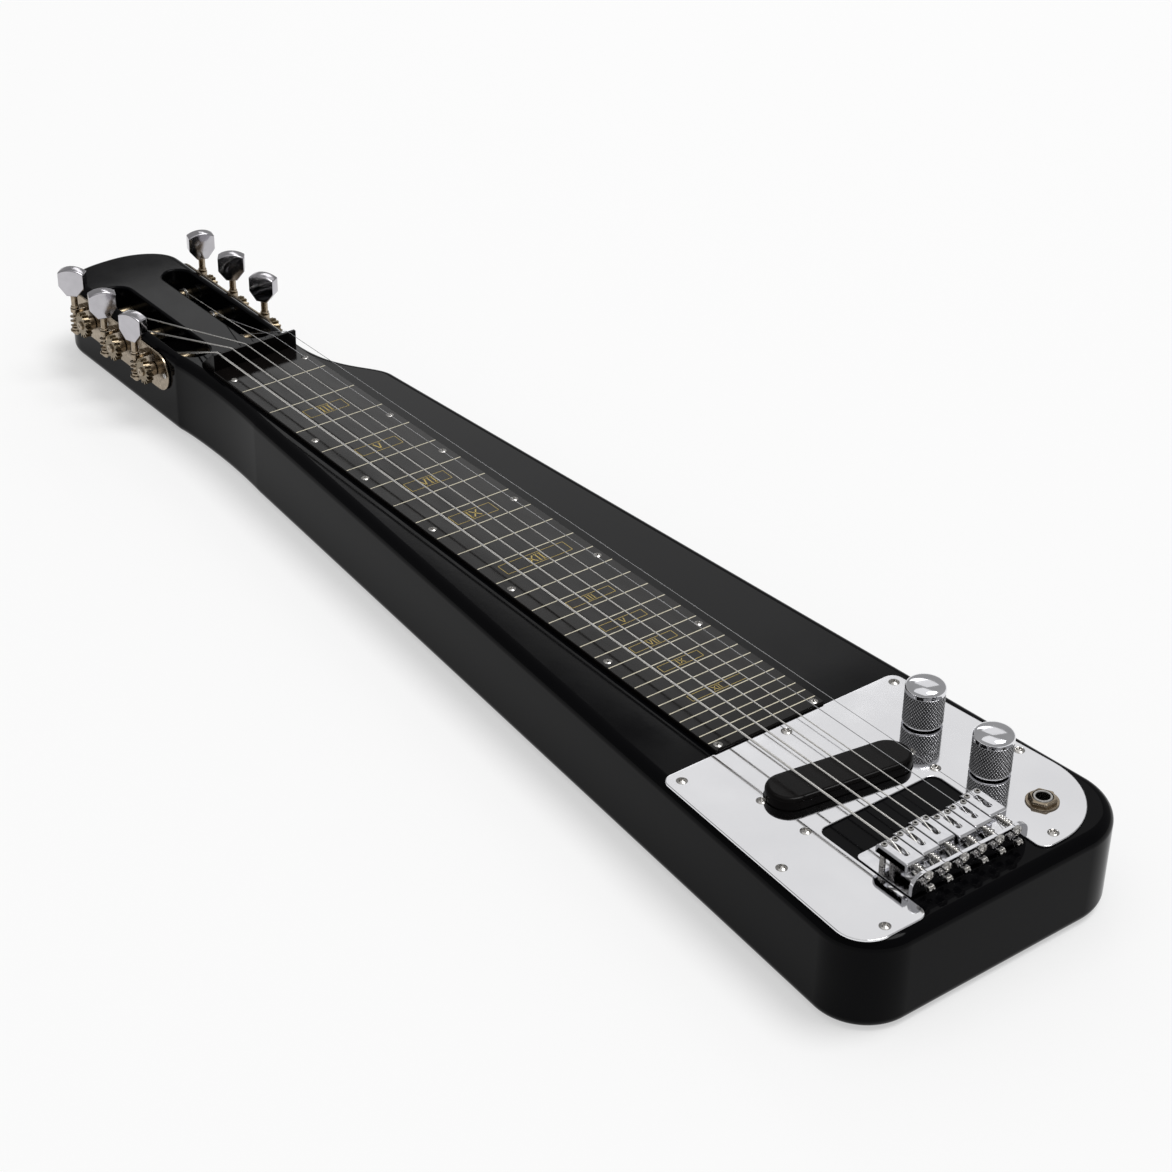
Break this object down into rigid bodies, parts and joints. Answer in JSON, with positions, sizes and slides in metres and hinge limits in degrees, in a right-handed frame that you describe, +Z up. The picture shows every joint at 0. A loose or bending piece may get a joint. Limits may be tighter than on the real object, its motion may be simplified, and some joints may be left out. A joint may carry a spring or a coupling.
{
  "type": "lap steel guitar",
  "caption": "Lap steel guitar: gloss black slab body, slotted head with geared tuners, ruled fretboard, raised nut, chrome control plate, blade pickup, knobs and adjustable bridge.",
  "frame": {"origin": "on the flat underside, below the front face of the nut and on the fretboard's centre line", "axes": "+X along the strings from the nut to the bridge, +Y to the treble side, +Z up from the underside to the strings"},
  "size_m": [0.793, 0.1746, 0.0744],
  "materials": {
    "lacquered_wood": "solid wood under gloss black lacquer",
    "board": "gloss black board with printed cream lines",
    "black_plastic": "moulded black plastic, satin",
    "coil_wire": "wound enamelled copper wire",
    "steel": "plain bright steel",
    "chrome": "polished chrome plate",
    "nickel": "polished nickel plate, slightly warm",
    "brass": "cut brass, lightly tarnished"
  },
  "bodies": {
    "guitar": {"body": "lacquered_wood", "fretboard": "board", "nut": "black_plastic", "control_plate": "chrome", "pickup_cover": "black_plastic", "pickup_coil": "coil_wire", "pickup_base": "steel", "pot_volume": "steel", "pot_tone": "steel", "jack_socket": "steel", "jack_nut": "chrome", "bridge_plate": "chrome", "tuner_plate_bass": "nickel", "tuner_plate_treble": "nickel", "saddle_1": "chrome", "length_screw_1": "steel", "spring_1": "steel", "string_1": "steel", "saddle_2": "chrome", "length_screw_2": "steel", "spring_2": "steel", "string_2": "steel", "saddle_3": "chrome", "length_screw_3": "steel", "spring_3": "steel", "string_3": "steel", "saddle_4": "chrome", "length_screw_4": "steel", "spring_4": "steel", "string_4": "steel", "saddle_5": "chrome", "length_screw_5": "steel", "spring_5": "steel", "string_5": "steel", "saddle_6": "chrome", "length_screw_6": "steel", "spring_6": "steel", "string_6": "steel"},
    "key_1": {"tuner_key_1": "chrome"},
    "post_1": {"string_post_1": "nickel", "tuner_gear_1": "brass"},
    "key_2": {"tuner_key_2": "chrome"},
    "post_2": {"string_post_2": "nickel", "tuner_gear_2": "brass"},
    "key_3": {"tuner_key_3": "chrome"},
    "post_3": {"string_post_3": "nickel", "tuner_gear_3": "brass"},
    "key_4": {"tuner_key_4": "chrome"},
    "post_4": {"string_post_4": "nickel", "tuner_gear_4": "brass"},
    "key_5": {"tuner_key_5": "chrome"},
    "post_5": {"string_post_5": "nickel", "tuner_gear_5": "brass"},
    "key_6": {"tuner_key_6": "chrome"},
    "post_6": {"string_post_6": "nickel", "tuner_gear_6": "brass"},
    "knob_volume": {"knob_volume": "chrome"},
    "knob_tone": {"knob_tone": "chrome"}
  },
  "joints": [
    {"name": "key_1_turn", "type": "hinge", "parent": "guitar", "child": "key_1", "pos_m": [-0.0637, 0.0456, 0.035], "axis": [0, 0, 1], "continuous": true},
    {"name": "post_1_turn", "type": "hinge", "parent": "guitar", "child": "post_1", "pos_m": [-0.0537, 0.0456, 0.035], "axis": [0, 1, 0], "continuous": true},
    {"name": "key_2_turn", "type": "hinge", "parent": "guitar", "child": "key_2", "pos_m": [-0.1012, 0.0456, 0.035], "axis": [0, 0, 1], "continuous": true},
    {"name": "post_2_turn", "type": "hinge", "parent": "guitar", "child": "post_2", "pos_m": [-0.0912, 0.0456, 0.035], "axis": [0, 1, 0], "continuous": true},
    {"name": "key_3_turn", "type": "hinge", "parent": "guitar", "child": "key_3", "pos_m": [-0.1387, 0.0456, 0.035], "axis": [0, 0, 1], "continuous": true},
    {"name": "post_3_turn", "type": "hinge", "parent": "guitar", "child": "post_3", "pos_m": [-0.1287, 0.0456, 0.035], "axis": [0, 1, 0], "continuous": true},
    {"name": "key_4_turn", "type": "hinge", "parent": "guitar", "child": "key_4", "pos_m": [-0.1387, -0.0456, 0.035], "axis": [0, 0, 1], "continuous": true},
    {"name": "post_4_turn", "type": "hinge", "parent": "guitar", "child": "post_4", "pos_m": [-0.1287, -0.0456, 0.035], "axis": [0, 1, 0], "continuous": true},
    {"name": "key_5_turn", "type": "hinge", "parent": "guitar", "child": "key_5", "pos_m": [-0.1012, -0.0456, 0.035], "axis": [0, 0, 1], "continuous": true},
    {"name": "post_5_turn", "type": "hinge", "parent": "guitar", "child": "post_5", "pos_m": [-0.0912, -0.0456, 0.035], "axis": [0, 1, 0], "continuous": true},
    {"name": "key_6_turn", "type": "hinge", "parent": "guitar", "child": "key_6", "pos_m": [-0.0637, -0.0456, 0.035], "axis": [0, 0, 1], "continuous": true},
    {"name": "post_6_turn", "type": "hinge", "parent": "guitar", "child": "post_6", "pos_m": [-0.0537, -0.0456, 0.035], "axis": [0, 1, 0], "continuous": true},
    {"name": "volume_turn", "type": "hinge", "parent": "guitar", "child": "knob_volume", "pos_m": [0.5036, 0.0624, 0.062], "axis": [0, 0, 1], "range_deg": [-150, 150]},
    {"name": "tone_turn", "type": "hinge", "parent": "guitar", "child": "knob_tone", "pos_m": [0.551, 0.0605, 0.062], "axis": [0, 0, 1], "range_deg": [-150, 150]}
  ],
  "couplings": [
    {"joint": "post_1_turn", "follows": "key_1_turn", "ratio": -0.066667},
    {"joint": "post_2_turn", "follows": "key_2_turn", "ratio": -0.066667},
    {"joint": "post_3_turn", "follows": "key_3_turn", "ratio": -0.066667},
    {"joint": "post_4_turn", "follows": "key_4_turn", "ratio": -0.066667},
    {"joint": "post_5_turn", "follows": "key_5_turn", "ratio": -0.066667},
    {"joint": "post_6_turn", "follows": "key_6_turn", "ratio": -0.066667}
  ]
}
